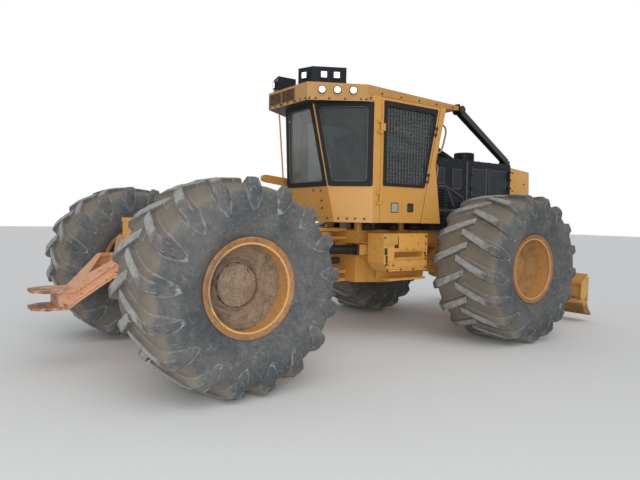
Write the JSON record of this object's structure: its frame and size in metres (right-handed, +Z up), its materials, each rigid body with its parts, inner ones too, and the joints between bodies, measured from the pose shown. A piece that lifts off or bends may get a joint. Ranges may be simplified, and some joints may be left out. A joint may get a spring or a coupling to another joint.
{
  "type": "articulated forestry skidder",
  "caption": "Articulated wheeled forestry skidder with a caged cab over the pivot, a front blade, louvred engine housing and a lowered rear arch on wide lugged tyres.",
  "frame": {"origin": "on the ground under the middle of the machine's length and width", "axes": "+X forward toward the blade, +Y to the machine's left, +Z up"},
  "size_m": [7.72, 3.882, 3.3498],
  "materials": {
    "arch_salmon": "faded paint, rust at the edges",
    "black_paint": "satin black paint",
    "body_yellow": "worn satin paint, dusty",
    "engine_iron": "dark engine block",
    "hood_slate": "dull dark paint",
    "rod_chrome": "polished rod",
    "seat_cloth": "dark seat cloth",
    "tyre_rubber": "worn rubber with dry mud",
    "wheel_yellow": "worn paint with mud",
    "window_glass": "tinted glass"
  },
  "bodies": {
    "front_chassis": {"front_frame": "body_yellow", "front_axle": "body_yellow", "cab_floor": "body_yellow", "cab_rear_wall": "body_yellow", "cab_front_wall": "body_yellow", "cab_roof": "body_yellow", "rear_window": "window_glass", "corner_window_right": "window_glass", "corner_window_left": "window_glass", "front_window": "window_glass", "seat": "seat_cloth", "lamp_pod_right": "hood_slate", "lamp_pod_left": "hood_slate", "hose_arm": "body_yellow", "step_box_right": "body_yellow", "step_box_left": "body_yellow", "shaft_front": "rod_chrome", "riser_right": "black_paint", "riser_left": "black_paint", "hood_shell": "hood_slate", "hood_cap": "body_yellow", "engine_block": "engine_iron", "precleaner": "black_paint"},
    "rear_chassis": {"rear_frame": "body_yellow", "rear_axle": "body_yellow", "shaft_rear": "rod_chrome"},
    "blade_body": {"blade": "body_yellow"},
    "arch_body": {"arch": "arch_salmon"},
    "wheel_front_right": {"rim_front_right": "wheel_yellow", "tyre_front_right": "tyre_rubber"},
    "wheel_front_left": {"rim_front_left": "wheel_yellow", "tyre_front_left": "tyre_rubber"},
    "wheel_rear_right": {"rim_rear_right": "wheel_yellow", "tyre_rear_right": "tyre_rubber"},
    "wheel_rear_left": {"rim_rear_left": "wheel_yellow", "tyre_rear_left": "tyre_rubber"},
    "cab_door_right": {"door_right": "body_yellow", "door_glass_right": "window_glass", "door_guard_right": "black_paint"},
    "engine_door_right": {"hood_door_right": "hood_slate"},
    "cab_door_left": {"door_left": "body_yellow", "door_glass_left": "window_glass", "door_guard_left": "black_paint"},
    "engine_door_left": {"hood_door_left": "hood_slate"},
    "blade_cylinder_right": {"blade_barrel_right": "body_yellow"},
    "blade_piston_right": {"blade_rod_right": "rod_chrome"},
    "blade_cylinder_left": {"blade_barrel_left": "body_yellow"},
    "blade_piston_left": {"blade_rod_left": "rod_chrome"},
    "arch_cylinder_right": {"arch_barrel_right": "body_yellow"},
    "arch_piston_right": {"arch_rod_right": "rod_chrome"},
    "arch_cylinder_left": {"arch_barrel_left": "body_yellow"},
    "arch_piston_left": {"arch_rod_left": "rod_chrome"},
    "steer_cylinder_right": {"steer_barrel_right": "black_paint"},
    "steer_piston_right": {"steer_rod_right": "rod_chrome"},
    "steer_cylinder_left": {"steer_barrel_left": "black_paint"},
    "steer_piston_left": {"steer_rod_left": "rod_chrome"}
  },
  "joints": [
    {"name": "articulation", "type": "hinge", "parent": "front_chassis", "child": "rear_chassis", "pos_m": [-0.44, 0, 1.07], "axis": [0, 0, 1], "range_deg": [-45, 45]},
    {"name": "wheel_front_right_spin", "type": "hinge", "parent": "front_chassis", "child": "wheel_front_right", "pos_m": [1.59, -1.426, 0.95], "axis": [0, 1, 0], "continuous": true},
    {"name": "wheel_front_left_spin", "type": "hinge", "parent": "front_chassis", "child": "wheel_front_left", "pos_m": [1.59, 1.426, 0.95], "axis": [0, 1, 0], "continuous": true},
    {"name": "wheel_rear_right_spin", "type": "hinge", "parent": "rear_chassis", "child": "wheel_rear_right", "pos_m": [-2.47, -1.426, 0.95], "axis": [0, 1, 0], "continuous": true},
    {"name": "wheel_rear_left_spin", "type": "hinge", "parent": "rear_chassis", "child": "wheel_rear_left", "pos_m": [-2.47, 1.426, 0.95], "axis": [0, 1, 0], "continuous": true},
    {"name": "blade_lift", "type": "hinge", "parent": "front_chassis", "child": "blade_body", "pos_m": [2.32, 0, 0.7], "axis": [0, -1, 0], "range_deg": [-3.5, 17]},
    {"name": "arch_lift", "type": "hinge", "parent": "rear_chassis", "child": "arch_body", "pos_m": [-2.84, 0, 1.03], "axis": [0, 1, 0], "range_deg": [-15, 50]},
    {"name": "cab_door_right_swing", "type": "hinge", "parent": "front_chassis", "child": "cab_door_right", "pos_m": [-0.153, -0.868, 2.2], "axis": [0, 0, -1], "range_deg": [0, 95]},
    {"name": "engine_door_right_swing", "type": "hinge", "parent": "front_chassis", "child": "engine_door_right", "pos_m": [2.743, -0.618, 2.1], "axis": [0, 0, 1], "range_deg": [0, 100]},
    {"name": "cab_door_left_swing", "type": "hinge", "parent": "front_chassis", "child": "cab_door_left", "pos_m": [-0.153, 0.868, 2.2], "axis": [0, 0, 1], "range_deg": [0, 95]},
    {"name": "engine_door_left_swing", "type": "hinge", "parent": "front_chassis", "child": "engine_door_left", "pos_m": [2.743, 0.618, 2.1], "axis": [0, 0, -1], "range_deg": [0, 100]},
    {"name": "blade_cylinder_right_tilt", "type": "hinge", "parent": "front_chassis", "child": "blade_cylinder_right", "pos_m": [2.96, -0.6, 1.33], "axis": [0, -1, 0], "range_deg": [-1, 3]},
    {"name": "blade_piston_right_slide", "type": "slide", "parent": "blade_cylinder_right", "child": "blade_piston_right", "axis": [0.1395, 0, -0.9902], "range_m": [-0.222, 0.05]},
    {"name": "blade_cylinder_left_tilt", "type": "hinge", "parent": "front_chassis", "child": "blade_cylinder_left", "pos_m": [2.96, 0.6, 1.33], "axis": [0, -1, 0], "range_deg": [-1, 3]},
    {"name": "blade_piston_left_slide", "type": "slide", "parent": "blade_cylinder_left", "child": "blade_piston_left", "axis": [0.1395, 0, -0.9902], "range_m": [-0.222, 0.05]},
    {"name": "arch_cylinder_right_tilt", "type": "hinge", "parent": "rear_chassis", "child": "arch_cylinder_right", "pos_m": [-1.84, -0.44, 1.33], "axis": [0, 1, 0], "range_deg": [-3, 6]},
    {"name": "arch_piston_right_slide", "type": "slide", "parent": "arch_cylinder_right", "child": "arch_piston_right", "axis": [-0.9976, 0, -0.0698], "range_m": [-0.19, 0.07]},
    {"name": "arch_cylinder_left_tilt", "type": "hinge", "parent": "rear_chassis", "child": "arch_cylinder_left", "pos_m": [-1.84, 0.44, 1.33], "axis": [0, 1, 0], "range_deg": [-3, 6]},
    {"name": "arch_piston_left_slide", "type": "slide", "parent": "arch_cylinder_left", "child": "arch_piston_left", "axis": [-0.9976, 0, -0.0698], "range_m": [-0.19, 0.07]},
    {"name": "steer_cylinder_right_tilt", "type": "hinge", "parent": "front_chassis", "child": "steer_cylinder_right", "pos_m": [0.06, -0.45, 1.15], "axis": [0, 0, 1], "range_deg": [-24, 24]},
    {"name": "steer_piston_right_slide", "type": "slide", "parent": "steer_cylinder_right", "child": "steer_piston_right", "axis": [-0.985, 0.1728, 0], "range_m": [-0.28, 0.28]},
    {"name": "steer_cylinder_left_tilt", "type": "hinge", "parent": "front_chassis", "child": "steer_cylinder_left", "pos_m": [0.06, 0.45, 1.15], "axis": [0, 0, 1], "range_deg": [-24, 24]},
    {"name": "steer_piston_left_slide", "type": "slide", "parent": "steer_cylinder_left", "child": "steer_piston_left", "axis": [-0.985, -0.1728, 0], "range_m": [-0.28, 0.28]}
  ],
  "couplings": [
    {"joint": "blade_cylinder_right_tilt", "follows": "blade_lift", "ratio": 0.16},
    {"joint": "blade_piston_right_slide", "follows": "blade_lift", "m_per_rad": -0.7336},
    {"joint": "blade_cylinder_left_tilt", "follows": "blade_lift", "ratio": 0.16},
    {"joint": "blade_piston_left_slide", "follows": "blade_lift", "m_per_rad": -0.7336},
    {"joint": "arch_cylinder_right_tilt", "follows": "arch_lift", "ratio": 0.0993},
    {"joint": "arch_piston_right_slide", "follows": "arch_lift", "m_per_rad": -0.2038},
    {"joint": "arch_cylinder_left_tilt", "follows": "arch_lift", "ratio": 0.0993},
    {"joint": "arch_piston_left_slide", "follows": "arch_lift", "m_per_rad": -0.2038},
    {"joint": "steer_cylinder_right_tilt", "follows": "articulation", "ratio": 0.5083},
    {"joint": "steer_piston_right_slide", "follows": "articulation", "m_per_rad": -0.3509},
    {"joint": "steer_cylinder_left_tilt", "follows": "articulation", "ratio": 0.5083},
    {"joint": "steer_piston_left_slide", "follows": "articulation", "m_per_rad": 0.3509}
  ]
}
